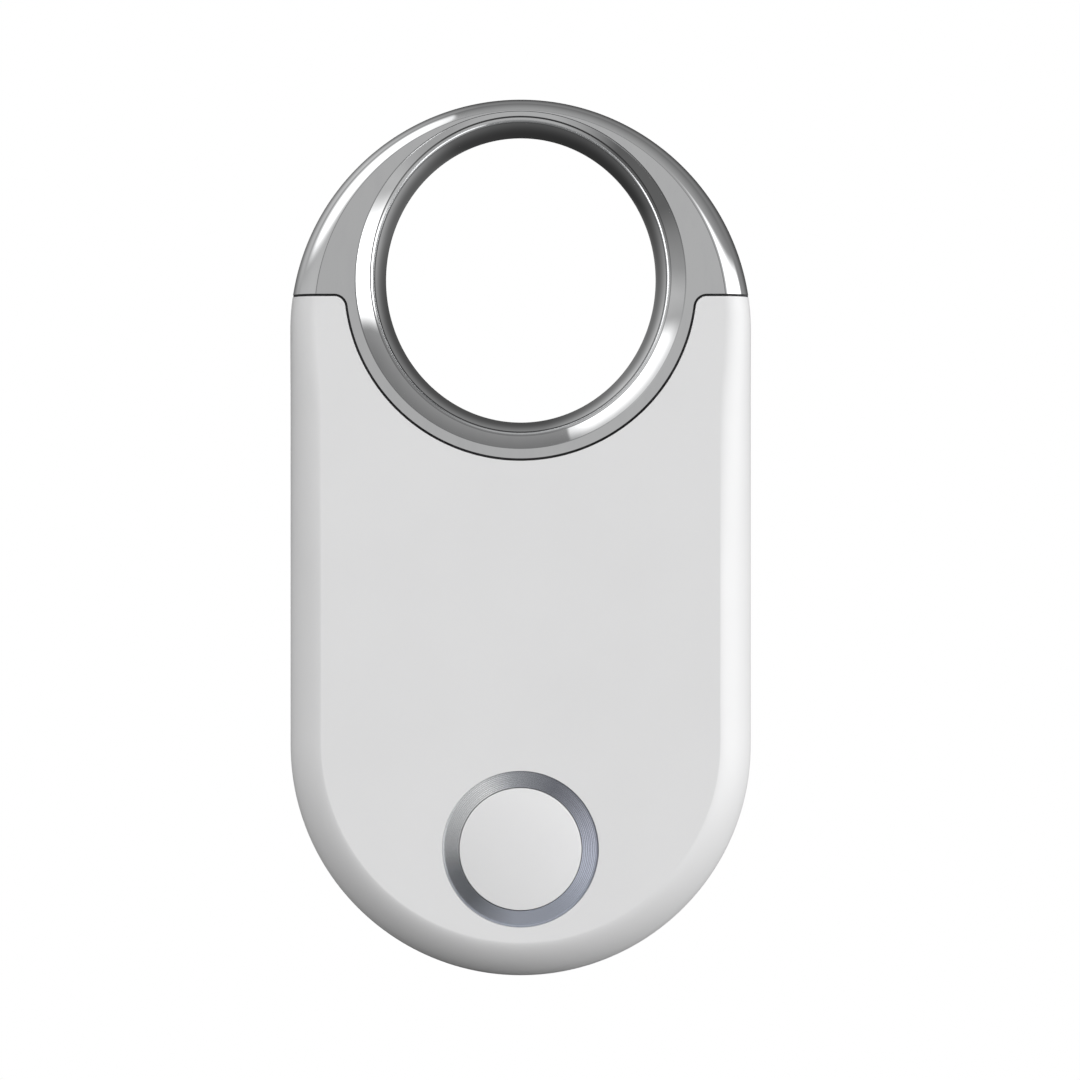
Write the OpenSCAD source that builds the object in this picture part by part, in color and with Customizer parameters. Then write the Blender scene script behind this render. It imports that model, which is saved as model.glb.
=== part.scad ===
// Key-ring radio tracker: a flat pill-shaped case with a metal loop at one end,
// a round push button at the other, and a coin cell behind a door in the back.
// The case lies on its back: X is its width, Y its length (loop towards +Y) and
// Z its thickness, with z = 0 on the back face and the origin under its middle.

/* [Case] */
// Width of the case
body_w = 30; // [29.6:0.1:38]
// Length of the case, loop included
body_l = 57; // [56:0.5:72]
// Thickness of the case
body_t = 8; // [7.6:0.1:10.5]
// Rounding of the front and back edges
edge_r = 2.1; // [1.4:0.1:2.4]
// Thickness of the front and back walls
face_wall = 1.0; // [0.9:0.05:1.3]
// Thickness of the side wall
side_wall = 1.2; // [1:0.05:1.4]
// Height of the parting plane between the two shells
split_z = 4.0; // [3.8:0.1:4.4]
// Height of the lip that laps the two shells
lip_h = 0.8; // [0.5:0.1:1]
// Thickness of that lip
lip_t = 0.5; // [0.4:0.05:0.6]
// Play between pieces that only have to go together
play = 0.1; // [0.05:0.01:0.15]

/* [Loop] */
// Half of the oval hole's width, at its narrowest
hole_half_w = 8.85; // [7:0.05:9.2]
// Half of the oval hole's length, at its narrowest
hole_half_l = 9.35; // [7.4:0.05:9.8]
// Metal between the hole and the outer end of the loop
top_bar = 2.2; // [1.8:0.1:3]
// Metal between the hole and the seam, on the case side
collar_l = 2.5; // [2.2:0.1:3]
// Metal between the hole and the seam, at the sides
collar_w = 2.5; // [2.2:0.1:2.8]
// Radius of the barrel-shaped wall inside the hole
barrel_r = 5.4; // [5:0.1:8]
// Rounding where the hole meets the two faces, above a crease in its wall
hole_edge_r = 0.85; // [0.6:0.05:1]
// How far the shoulders of the seam lie below the hole's middle
shoulder_drop = 1.2; // [0.8:0.1:2]
// Rounding of the seam's corners
seam_corner_r = 0.8; // [0.5:0.05:1]
// Width of the shadow line between loop and case
seam_gap = 0.12; // [0.06:0.01:0.2]
// Width of the tongues that reach into the case
tongue_w = 1.4; // [1.2:0.1:1.5]
// Thickness of the tongues
tongue_t = 2.2; // [1.8:0.1:2.4]
// Radius of the lug at the end of each tongue
lug_r = 1.9; // [1.7:0.05:2]

/* [Button] */
// Radius of the button
button_r = 3.95; // [3.4:0.05:5]
// Width of the metal ring round the button
trim_w = 1.0; // [0.8:0.05:1.3]
// How far the metal ring lies below the front face
trim_sink = 0.2; // [0.1:0.05:0.3]
// Thickness of the metal ring
trim_t = 0.45; // [0.35:0.05:0.5]
// Distance from the button's middle to the end of the case
button_end = 8.4; // [8:0.1:10]
// Travel of the button
button_travel = 0.25; // [0.15:0.05:0.3]
// Thickness of the button's flange
flange_t = 0.4; // [0.3:0.05:0.45]
// Width and length of the switch under the button
switch_w = 3.0; // [2.6:0.1:3.2]
// Height of the switch's body
switch_h = 0.6; // [0.55:0.05:0.65]
// Radius of the switch's plunger
plunger_r = 0.6; // [0.4:0.05:0.8]

/* [Coin cell and door] */
// Diameter of the coin cell
cell_d = 20; // [16:0.1:20]
// Thickness of the coin cell
cell_t = 3.2; // [2.5:0.1:3.2]
// Thickness of the cell's steel
cell_wall = 0.25; // [0.2:0.05:0.3]
// Gap round the cell in its well
cell_play = 0.3; // [0.2:0.05:0.4]
// Wall of the cell's well
well_wall = 1.2; // [1:0.05:1.3]
// Width of the ledge under the door's rim
door_ledge = 1.1; // [0.9:0.05:1.2]
// Thickness of the door's rim
door_rim_t = 0.5; // [0.4:0.05:0.6]
// Thickness of the door at its middle
door_t = 0.9; // [0.8:0.05:1]
// Wire radius of the door's seal ring
seal_r = 0.25; // [0.2:0.01:0.28]
// Width of the notch where a coin or a nail lifts the door
notch_w = 5; // [3:0.5:7]

/* [Electronics] */
// Thickness of the circuit board
board_t = 0.8; // [0.6:0.1:0.8]
// Height left for parts between the board and the front wall
parts_h = 1.0; // [0.95:0.05:1.2]
// Height left for the contact between the cell and the board
contact_h = 0.3; // [0.25:0.05:0.4]
// Radius of the sounder's brass plate
sounder_r = 7.5; // [6:0.1:8]
// Radius of the sounder's ceramic disc
ceramic_r = 5.5; // [4:0.1:5.6]
// Thickness of the brass plate and of the ceramic disc
sounder_t = 0.15; // [0.1:0.01:0.16]
// Side of the radio chip
radio_w = 5; // [4:0.1:6]

/* [Screws] */
// Radius of the loop screws
loop_screw_r = 0.7; // [0.6:0.05:0.8]
// Radius of the board screws
board_screw_r = 0.55; // [0.5:0.05:0.6]
// Wall of the bosses round the screws
boss_wall = 0.7; // [0.5:0.05:0.75]

/* [Hidden] */
$fn = 96;

fit = 0.02;       // gap between faces that touch on the real object
over = 1;         // how far a cutter reaches past what it cuts
half_w = body_w / 2;
half_l = body_l / 2;
arc_y = half_l - half_w;   // middle of each round end

// Seam between loop and case
hole_y = half_l - top_bar - hole_half_l;
seam_r = hole_half_w + collar_w;
seam_low = hole_y - hole_half_l - collar_l;
seam_y = seam_low + seam_r;
shoulder_y = hole_y - shoulder_drop;
// The corner's rounding touches the straight shoulder and the round seam
corner_y = shoulder_y - seam_corner_r;
corner_x = sqrt(pow(seam_r + seam_corner_r, 2) - pow(corner_y - seam_y, 2));

// The oval hole is four arcs: flatter ones at the sides, tighter ones at the ends
oval_shift = (hole_half_l - hole_half_w) / (2 - sqrt(2));
side_arc_r = hole_half_w + oval_shift;
end_arc_r = hole_half_l - oval_shift;
// The barrel wall ends in a crease, and the rounding over it meets the two faces.
// It meets them at a slight angle, because lead lifts its centre that much.
lead = 0.02;
crease_rise = body_t / 2 - hole_edge_r;
hole_flare = barrel_r - sqrt(pow(barrel_r, 2) - pow(crease_rise, 2));
hole_rim = hole_flare + hole_edge_r;

// Inner edges of the shells
cavity_top = body_t - face_wall;
cavity_r = max(0.3, edge_r - side_wall);

// Levels of the board and of what lies under it
board_top = cavity_top - parts_h;
board_z = board_top - board_t;
board_gap = 0.4;  // between the board's edge and the side wall
cell_r = cell_d / 2;
cell_top = board_z - contact_h;
cell_z = cell_top - cell_t;
well_r = cell_r + cell_play;
door_r = well_r + door_ledge;
door_margin = 0.9;  // case between the door's seat and the seam
cell_y = seam_low - seam_gap / 2 - door_margin - play - door_r;

// Tongues and lugs that hold the loop in the case
seam_wall_y = shoulder_y - seam_gap / 2 - face_wall;   // inner face of the wall at the shoulders
inner_half_w = sqrt(pow(half_w - side_wall, 2) - pow(max(seam_wall_y - arc_y, 0), 2));
tongue_x = inner_half_w - play - tongue_w / 2;
lug_x = half_w - side_wall - 2 * play - lug_r;
lug_reach = seam_r + seam_gap / 2 + face_wall + play + lug_r;
lug_y = min(seam_y - sqrt(max(pow(lug_reach, 2) - pow(lug_x, 2), 0)),
            seam_wall_y - play - lug_r);
tongue_z = split_z - tongue_t / 2;
tongue_top = split_z + tongue_t / 2;
loop_head_r = loop_screw_r + 0.5;
loop_head_t = 0.6;
loop_boss_r = loop_screw_r + boss_wall;
loop_screw_top = cavity_top + 0.2;

// Screws that hold the board
board_head_r = board_screw_r + 0.4;
board_head_t = 0.45;
board_boss_r = board_screw_r + boss_wall;
board_screw_top = cavity_top + 0.4;
board_top_y = lug_y - lug_r - 2 * play;
button_y = -(half_l - button_end);
upper_screw = [half_w - side_wall - board_boss_r - 0.9, board_top_y - board_boss_r - 1.6];
lower_screw = [half_w - 5.4, button_y + 0.2];
board_screws_at = [for (s = [-1, 1], p = [upper_screw, lower_screw]) [s * p[0], p[1]]];

// Button and switch
trim_in = button_r + play;
trim_out = trim_in + trim_w;
trim_z = body_t - trim_sink - trim_t;
ledge_r = trim_in + 0.3;   // hole in the wall under the metal ring
flange_r = ledge_r + 0.55;
flange_z = cavity_top - flange_t - fit;
stem_r = 0.9;
plunger_top = board_top + switch_h + button_travel + 0.07;
switch_cover_t = 0.08;
dome_r = 1.0;
dome_h = button_travel - 0.05;   // the dome gives way almost as far as the button travels
dome_z = board_top + 0.1;
plunger_z = dome_z + dome_h + 0.09;

// Sounder, glued under the front wall over the coin cell
sounder_y = min(max(button_y + flange_r + sounder_r + play, cell_y + 3),
                seam_low - seam_gap / 2 - face_wall - 3 * play - sounder_r);
tape_t = 0.05;
plate_z = cavity_top - tape_t - sounder_t;
ceramic_z = plate_z - sounder_t;

// ---------- shapes that several pieces share ----------

// Outline of the case, drawn in by inset
module pill(inset) {
  for (s = [-1, 1]) translate([0, s * arc_y]) circle(r = half_w - inset);
  square([body_w - 2 * inset, 2 * arc_y], center = true);
}

// Half of a cross-section with rounded edges, from the middle out to w
module half_section(w, z0, z1, r) {
  translate([0, z0]) square([w - r, z1 - z0]);
  translate([0, z0 + r]) square([w, z1 - z0 - 2 * r]);
  for (z = [z0 + r, z1 - r]) translate([w - r, z]) circle(r = r);
}

// A pill-shaped block with rounded edges
module pill_block(inset, z0, z1, r) {
  w = half_w - inset;
  translate([0, arc_y, 0]) rotate_extrude(angle = 180) half_section(w, z0, z1, r);
  translate([0, -arc_y, 0]) rotate([0, 0, 180]) rotate_extrude(angle = 180) half_section(w, z0, z1, r);
  rotate([90, 0, 0]) linear_extrude(height = 2 * arc_y, center = true) {
    half_section(w, z0, z1, r);
    mirror([1, 0]) half_section(w, z0, z1, r);
  }
}

// What lies on the loop's side of the seam, grown by o
module loop_side(o) {
  aim = [corner_x, corner_y - seam_y] * ((seam_r - 0.2) / (seam_r + seam_corner_r));
  inner_x = sqrt(pow(seam_r, 2) - pow(shoulder_y - seam_y, 2)) - 0.3;
  translate([0, seam_y]) circle(r = seam_r + o);
  translate([-body_w, shoulder_y - o]) square([2 * body_w, body_l]);
  if (seam_corner_r > o) for (s = [0, 1]) mirror([s, 0]) difference() {
    polygon([[corner_x, corner_y], [corner_x, shoulder_y + 0.2],
             [inner_x, shoulder_y + 0.2], [aim[0], seam_y + aim[1]]]);
    translate([corner_x, corner_y]) circle(r = seam_corner_r - o);
  }
}

// A slice of space between two heights
module slice(z0, z1) {
  translate([-body_w, -body_l, z0]) cube([2 * body_w, 2 * body_l, z1 - z0]);
}

// Hollow shell between two heights, open at the parting plane
module shell(z0, z1) {
  difference() {
    intersection() {
      pill_block(0, 0, body_t, edge_r);
      slice(z0, z1);
    }
    translate([0, 0, -over]) linear_extrude(height = body_t + 2 * over) loop_side(seam_gap / 2);
    difference() {
      intersection() {
        pill_block(side_wall, face_wall, cavity_top, cavity_r);
        slice(z0 - over, z1 + over);
      }
      translate([0, 0, -over]) linear_extrude(height = body_t + 2 * over)
        loop_side(seam_gap / 2 + face_wall);
    }
  }
}

// Ring in which the two shells lap, inside the side wall
module lip_ring(outer, inner) {
  intersection() {
    difference() {
      pill(outer);
      pill(inner);
    }
    translate([-body_w, -body_l]) square([2 * body_w, body_l + lug_y - lug_r]);
  }
}

// Cylinder from z0 to z1 round a vertical axis
module post(at, r, z0, z1) {
  translate([at[0], at[1], z0]) cylinder(r = r, h = z1 - z0);
}

// Pan-head screw pointing up: its head hangs below z0
module screw(at, r, head_r, head_t, z0, z1) {
  difference() {
    union() {
      post(at, r, z0 - fit, z1);
      post(at, head_r, z0 - head_t, z0 - fit);
    }
    for (a = [0, 90]) translate([at[0], at[1], z0 - head_t]) rotate([0, 0, a])
      cube([head_r * 1.1, head_r * 0.28, head_t * 0.9], center = true);
  }
}

// Box standing on the board, its middle at p and turned by a
module chip(p, size, a = 0) {
  translate([p[0], p[1], board_top + fit]) rotate([0, 0, a])
    translate([-size[0] / 2, -size[1] / 2, 0]) cube(size);
}

function lug_places() = [for (s = [-1, 1]) [s * lug_x, lug_y]];

// ---------- loop ----------

// Cross-section of the hole for an arc of radius r, from its axis outwards
module hole_section(r) {
  bite = 0.1;  // the barrel wall runs this far into the rounding
  difference() {
    translate([0, -over]) square([r + hole_rim, body_t + 2 * over]);
    intersection() {
      translate([r + barrel_r, body_t / 2]) circle(r = barrel_r);
      translate([r - over, body_t / 2 - crease_rise - bite])
        square([hole_rim + 2 * over, 2 * (crease_rise + bite)]);
    }
    for (s = [-1, 1]) translate([r + hole_rim, body_t / 2 + s * (crease_rise + lead)]) circle(r = hole_edge_r);
  }
}

module oval_hole() {
  for (a = [0, 180]) translate([0, hole_y, 0]) rotate([0, 0, a]) {
    translate([-oval_shift, 0, 0]) rotate([0, 0, -45]) rotate_extrude(angle = 90) hole_section(side_arc_r);
    translate([0, oval_shift, 0]) rotate([0, 0, 45]) rotate_extrude(angle = 90) hole_section(end_arc_r);
  }
}

// Tongue and lug on one side, as a flat outline
module tongue_outline() {
  translate([tongue_x - tongue_w / 2, lug_y]) square([tongue_w, shoulder_y + over - lug_y]);
  translate([lug_x, lug_y]) circle(r = lug_r);
}

module loop() {
  color("silver") difference() {
    union() {
      difference() {
        intersection() {
          pill_block(0, 0, body_t, edge_r);
          translate([0, 0, -over]) linear_extrude(height = body_t + 2 * over) loop_side(-seam_gap / 2);
        }
        oval_hole();
      }
      for (s = [0, 1]) mirror([s, 0, 0]) translate([0, 0, tongue_z])
        linear_extrude(height = tongue_t) tongue_outline();
    }
    for (p = lug_places()) post(p, loop_screw_r + play, tongue_z - over, tongue_top + over);
  }
}

module loop_screws() {
  color("dimgray") for (p = lug_places())
    screw(p, loop_screw_r, loop_head_r, loop_head_t, tongue_z, loop_screw_top);
}

// ---------- shells ----------

// Windows through which the tongues pass
module tongue_windows() {
  for (s = [-1, 1])
    translate([s * tongue_x - tongue_w / 2 - play, shoulder_y - face_wall - over, tongue_z - play])
      cube([tongue_w + 2 * play, face_wall + 2 * over, tongue_t + 2 * play]);
}

module front_shell() {
  color("white") difference() {
    union() {
      difference() {
        shell(split_z, body_t);
        translate([0, 0, split_z - over]) linear_extrude(height = lip_h + 0.3 + over)
          lip_ring(side_wall - lip_t - play / 2, side_wall + over);
      }
      for (p = lug_places()) post(p, loop_boss_r, tongue_top + fit, cavity_top + fit);
      for (p = board_screws_at) post(p, board_boss_r, board_top + fit, cavity_top + fit);
    }
    tongue_windows();
    for (p = lug_places()) post(p, loop_screw_r + fit, tongue_top - over, loop_screw_top + fit);
    for (p = board_screws_at) post(p, board_screw_r + fit, board_top - over, board_screw_top + fit);
    post([0, button_y], ledge_r, cavity_top - over, body_t + over);
    post([0, button_y], trim_out + fit, trim_z, body_t + over);
  }
}

// Notch beside the door, as a cutter: it reaches a little way under the door's rim
module coin_notch() {
  r = 1.2;
  depth = door_rim_t + 0.25;
  translate([0, cell_y - door_r + 0.1, depth - r]) rotate([0, 90, 0])
    cylinder(r = r, h = notch_w, center = true);
}

module rear_shell() {
  color("white") difference() {
    union() {
      shell(0, split_z);
      translate([0, 0, split_z]) linear_extrude(height = lip_h) lip_ring(side_wall - lip_t, side_wall);
      intersection() {
        post([0, cell_y], well_r + well_wall, face_wall / 2, board_z - fit);
        pill_block(side_wall / 2, face_wall / 2, board_z, cavity_r);
        union() {
          slice(0, split_z);
          linear_extrude(height = body_t) difference() {
            square(2 * body_l, center = true);
            loop_side(seam_gap / 2 + face_wall + play);
          }
        }
      }
    }
    tongue_windows();
    post([0, cell_y], door_r + play, -over, door_rim_t + fit);
    post([0, cell_y], well_r, 0, board_z + over);
    coin_notch();
    for (a = contact_angles) translate([0, cell_y, 0]) rotate([0, 0, a])
      translate([well_r - over, -contact_w / 2 - play, cell_top - clip_drop - play])
        cube([well_wall + 2 * over, contact_w + 2 * play, body_t]);
  }
}

module shell_seal() {
  color("dimgray") translate([0, 0, split_z + lip_h + fit]) linear_extrude(height = 0.3 - 2 * fit)
    lip_ring(side_wall - lip_t, side_wall);
}

// Dark strip that fills the seam between loop and case, above the tongues
module seam_gasket() {
  thick = seam_gap - 2 * fit;
  bottom = tongue_top + 0.2;
  color("black") translate([0, 0, bottom])
    linear_extrude(height = max(0.3, body_t - edge_r + 0.2 - bottom)) intersection() {
      difference() {
        loop_side(thick / 2);
        loop_side(-thick / 2);
      }
      pill(0.15);
    }
}

// ---------- button and switch ----------

// Metal ring in the front wall, its face falling away from the button
module trim_ring() {
  fall = 0.08;
  color("lightsteelblue") translate([0, button_y, 0]) rotate_extrude()
    polygon([[trim_in, trim_z + fit], [trim_out, trim_z + fit],
             [trim_out, trim_z + trim_t - fall], [trim_in, trim_z + trim_t]]);
}

module button_cap() {
  crown = 0.35;
  hollow_r = button_r - 0.8;
  color("white") difference() {
    union() {
      post([0, button_y], button_r, flange_z, body_t);
      post([0, button_y], flange_r, flange_z, flange_z + flange_t);
    }
    difference() {
      post([0, button_y], hollow_r, flange_z - over, body_t - crown - 0.2);
      post([0, button_y], stem_r, plunger_top + fit, body_t);
    }
  }
}

module button_return_pad() {
  color("whitesmoke") difference() {
    post([0, button_y], flange_r - 0.1, board_top + fit, flange_z - fit);
    post([0, button_y], flange_r - 0.7, board_top - over, flange_z + over);
  }
}

module switch_body() {
  color("#222222") difference() {
    chip([0, button_y], [switch_w, switch_w, switch_h - switch_cover_t - fit]);
    post([0, button_y], dome_r + 0.1, dome_z, board_top + switch_h);
  }
}

// Snap dome: a thin cap of a sphere
module switch_dome() {
  sheet = 0.05;
  ball_r = (pow(dome_r, 2) + pow(dome_h, 2)) / (2 * dome_h);
  color("gold") intersection() {
    translate([0, button_y, dome_z + fit + dome_h - ball_r]) difference() {
      sphere(r = ball_r);
      sphere(r = ball_r - sheet);
    }
    post([0, button_y], dome_r, dome_z + fit, dome_z + 1);
  }
}

module switch_plunger() {
  color("ivory") post([0, button_y], plunger_r, plunger_z, plunger_top);
}

module switch_cover() {
  top = board_top + switch_h;
  color("silver") difference() {
    chip([0, button_y], [switch_w + 0.16, switch_w + 0.16, switch_h]);
    chip([0, button_y], [switch_w + fit, switch_w + fit, switch_h - switch_cover_t]);
    post([0, button_y], plunger_r + 0.05, board_top, top + over);
    for (a = [0, 90]) translate([0, button_y, board_top]) rotate([0, 0, a])
      cube([switch_w + 1, switch_w * 0.5, switch_h], center = true);
  }
}

// ---------- circuit board and what stands on it ----------

module circuit_board() {
  color("darkgreen") translate([0, 0, board_z]) linear_extrude(height = board_t) difference() {
    intersection() {
      pill(side_wall + board_gap);
      translate([-body_w, -body_l]) square([2 * body_w, body_l + board_top_y]);
    }
    loop_side(seam_gap / 2 + face_wall + board_gap);
    for (p = board_screws_at) translate(p) circle(r = board_screw_r + play);
  }
}

module board_screws() {
  color("dimgray") for (p = board_screws_at)
    screw(p, board_screw_r, board_head_r, board_head_t, board_z, board_screw_top);
}

radio_at = [-(half_w - 6.4), button_y + flange_r + 0.6];
module radio_chip() {
  color("#202020") chip(radio_at, [radio_w, radio_w, 0.85]);
}

module main_crystal() {
  color("silver") chip([radio_at[0] + radio_w / 2 + 1.9, radio_at[1] + 1.2], [2.0, 1.6, 0.5]);
}

module clock_crystal() {
  color("silver") chip([radio_at[0] - 1.8, radio_at[1] + radio_w / 2 + 2.2], [1.5, 3.2, 0.75]);
}

module motion_sensor() {
  color("#303030") chip([half_w - 8.6, radio_at[1] + 1.4], [2, 2, 0.7]);
}

// The antenna follows the board's round end
antenna_angle = -54;
module chip_antenna() {
  at = [(half_w - 3) * cos(antenna_angle), -arc_y + (half_w - 3) * sin(antenna_angle)];
  color("linen") chip(at, [3.2, 1.6, 0.8], antenna_angle + 90);
}

module boost_inductor() {
  under = board_z - fit;
  color("#404040") translate([0, button_y - 1.6, 0]) difference() {
    translate([-1.5, -1.5, under - 1.2]) cube([3, 3, 1.2]);
    translate([0, 0, under - 1.2]) cylinder(r = 0.5, h = 0.4, center = true);
  }
}

module storage_capacitor() {
  color("goldenrod") translate([-5.2, button_y - 2.4, board_z - fit - 1.1]) cube([2, 3.5, 1.1]);
}

// Small chip capacitors: one column beside the radio chip and one by the sensor
module chip_capacitors() {
  pitch = 1.1;
  color("burlywood") {
    for (i = [0:4]) chip([radio_at[0] + radio_w / 2 + 0.5, radio_at[1] - radio_w / 2 + 0.3 + i * pitch - 0.4],
                         [0.5, 1.0 - play, 0.5]);
    for (i = [0:5]) chip([half_w - 6.4, radio_at[1] - 1.8 + i * pitch], [1.0, 0.5, 0.5]);
    for (i = [0:3]) chip([half_w - 4.9, radio_at[1] - 1.2 + i * pitch], [1.0, 0.5, 0.5]);
  }
}

// ---------- sounder ----------

module sounder_plate() {
  color("gold") post([0, sounder_y], sounder_r, plate_z, plate_z + sounder_t);
}

module sounder_ceramic() {
  color("ghostwhite") post([0, sounder_y], ceramic_r, ceramic_z, plate_z);
}

module sounder_tape() {
  color("black") difference() {
    post([0, sounder_y], sounder_r, plate_z + sounder_t, cavity_top);
    post([0, sounder_y], sounder_r - 0.8, plate_z, cavity_top + over);
  }
}

// Two sprung pins: one touches the ceramic disc, the other the brass plate
module sounder_contacts() {
  color("gold") for (c = [[0, ceramic_z], [(ceramic_r + sounder_r) / 2, plate_z]])
    translate([c[0], sounder_y, board_top + fit]) {
      cylinder(r = 0.6, h = 0.25);
      cylinder(r = 0.35, h = c[1] - board_top - 2 * fit);
    }
}

// ---------- contacts and coin cell ----------

contact_w = 3;
contact_angles = [-40, -140];
clip_drop = 2.2;      // how far the side clips reach down beside the cell
sheet_t = 0.15;       // thickness of the contact metal

// Spring fingers under the board that press on the cell's small face
module negative_contact() {
  color("gold") translate([0, cell_y, 0]) {
    translate([0, 0, board_z - sheet_t]) cylinder(r = 1.6, h = sheet_t - fit);
    for (a = [30, 150, 270]) rotate([0, 0, a]) {
      translate([0, -0.5, board_z - sheet_t]) cube([4.2, 1, sheet_t - fit]);
      translate([3.6, -0.5, cell_top + fit]) cube([0.6, 1, contact_h - sheet_t + fit]);
    }
  }
}

// Clips soldered under the board that touch the side of the cell
module positive_contacts() {
  color("gold") translate([0, cell_y, 0]) for (a = contact_angles) rotate([0, 0, a]) {
    translate([cell_r + fit * 2, -contact_w / 2, cell_top - clip_drop])
      cube([sheet_t, contact_w, board_z - fit - cell_top + clip_drop]);
    translate([cell_r + fit * 2, -contact_w / 2, board_z - sheet_t - fit])
      cube([well_wall + 1, contact_w, sheet_t]);
  }
}

module cell_can() {
  lip = 1.0;
  color("lightgray") translate([0, cell_y, cell_z]) rotate_extrude() polygon([
    [0, 0], [cell_r - 0.3, 0], [cell_r, 0.3], [cell_r, cell_t - 0.6], [cell_r - 0.45, cell_t - 0.2],
    [cell_r - lip, cell_t - 0.3], [cell_r - lip, cell_t - 0.3 - cell_wall],
    [cell_r - cell_wall, cell_t - 0.8], [cell_r - cell_wall, cell_wall], [0, cell_wall]
  ]);
}

module cell_pellet() {
  color("#2a2a2a") translate([0, cell_y, cell_z])
    post([0, 0], cell_r - 1.6, cell_wall, cell_t - cell_wall - 0.6);
}

module cell_gasket() {
  color("#3a3a3a") translate([0, cell_y, cell_z]) difference() {
    post([0, 0], cell_r - cell_wall - fit, cell_wall, cell_t - 0.8);
    post([0, 0], cell_r - cell_wall - 0.35, cell_wall - over, cell_t);
  }
}

module cell_cap() {
  skirt_r = cell_r - cell_wall - 0.35 - fit;
  face_r = cell_r - 1.25;
  color("silver") translate([0, cell_y, cell_z]) rotate_extrude() polygon([
    [0, cell_t], [face_r - 0.15, cell_t], [face_r, cell_t - 0.15], [face_r, cell_t - 0.75],
    [skirt_r, cell_t - 0.9], [skirt_r, cell_wall + 0.1], [skirt_r - cell_wall, cell_wall + 0.1],
    [skirt_r - cell_wall, cell_t - 0.9 - cell_wall], [face_r - cell_wall, cell_t - 0.75 - cell_wall],
    [face_r - cell_wall, cell_t - cell_wall], [0, cell_t - cell_wall]
  ]);
}

// ---------- battery door ----------

plug_r = well_r - play;
plug_top = cell_z - fit - 0.2;
groove_z = (door_rim_t + plug_top) / 2;
pad_r = plug_r - 1.8;

module battery_door() {
  color("white") translate([0, cell_y, 0]) difference() {
    union() {
      cylinder(r = door_r, h = door_rim_t);
      cylinder(r = plug_r, h = plug_top);
    }
    translate([0, 0, door_t]) cylinder(r = pad_r + play, h = over + plug_top);
    translate([0, 0, groove_z]) rotate_extrude()
      translate([plug_r - 2 * seal_r + play - 0.04, -seal_r - fit]) square([over + seal_r, 2 * seal_r + 2 * fit]);
  }
}

module door_seal() {
  color("darkorange") translate([0, cell_y, groove_z]) rotate_extrude()
    translate([well_r - fit - seal_r, 0]) circle(r = seal_r - fit);
}

module door_pad() {
  color("dimgray") post([0, cell_y], pad_r, door_t + fit, cell_z - fit);
}

loop();
loop_screws();
front_shell();
rear_shell();
shell_seal();
seam_gasket();
trim_ring();
button_cap();
button_return_pad();
switch_body();
switch_dome();
switch_plunger();
switch_cover();
circuit_board();
board_screws();
radio_chip();
main_crystal();
clock_crystal();
motion_sensor();
chip_antenna();
boost_inductor();
storage_capacitor();
chip_capacitors();
sounder_plate();
sounder_ceramic();
sounder_tape();
sounder_contacts();
negative_contact();
positive_contacts();
cell_can();
cell_pellet();
cell_gasket();
cell_cap();
battery_door();
door_seal();
door_pad();
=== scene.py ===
"""A flat key-ring tracker tag: polished loop, white two-part case, round button, rear door."""
import logging
import math
from dataclasses import dataclass, field
from enum import Enum
from typing import Any, Callable, Dict, List, Optional, Sequence, Tuple, Union

import bmesh
import bpy
from mathutils import Matrix, Vector


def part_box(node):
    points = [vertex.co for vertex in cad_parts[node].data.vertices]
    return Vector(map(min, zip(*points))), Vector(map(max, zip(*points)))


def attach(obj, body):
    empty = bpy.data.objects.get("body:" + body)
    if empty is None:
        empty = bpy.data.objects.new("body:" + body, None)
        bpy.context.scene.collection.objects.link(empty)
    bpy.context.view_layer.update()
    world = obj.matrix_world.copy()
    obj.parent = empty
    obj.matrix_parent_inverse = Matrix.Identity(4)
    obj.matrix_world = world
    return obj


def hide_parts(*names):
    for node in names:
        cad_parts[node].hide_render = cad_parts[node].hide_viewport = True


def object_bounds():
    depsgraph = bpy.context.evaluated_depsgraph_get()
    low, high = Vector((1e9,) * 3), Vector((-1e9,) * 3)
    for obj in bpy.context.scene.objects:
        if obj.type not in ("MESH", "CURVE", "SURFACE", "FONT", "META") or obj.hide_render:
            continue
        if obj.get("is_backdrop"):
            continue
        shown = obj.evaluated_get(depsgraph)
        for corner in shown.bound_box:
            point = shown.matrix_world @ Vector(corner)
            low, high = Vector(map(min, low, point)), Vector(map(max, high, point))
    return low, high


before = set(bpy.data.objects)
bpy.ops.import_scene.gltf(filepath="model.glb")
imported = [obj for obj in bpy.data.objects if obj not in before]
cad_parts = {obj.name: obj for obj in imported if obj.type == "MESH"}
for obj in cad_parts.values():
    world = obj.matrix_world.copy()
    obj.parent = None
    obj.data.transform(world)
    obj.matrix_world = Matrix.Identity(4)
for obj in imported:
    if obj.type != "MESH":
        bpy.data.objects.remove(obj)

LOG = logging.getLogger("tracker_tag")
MM = 0.001                      # sizes below are millimetres, the scene is metres
Colour = Tuple[float, float, float]
Point = Tuple[float, float]


# ---------------------------------------------------------------- mesh making


class Cut(Enum):
    """How one form is combined with others."""

    AWAY = "DIFFERENCE"
    SHARED = "INTERSECT"


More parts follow.
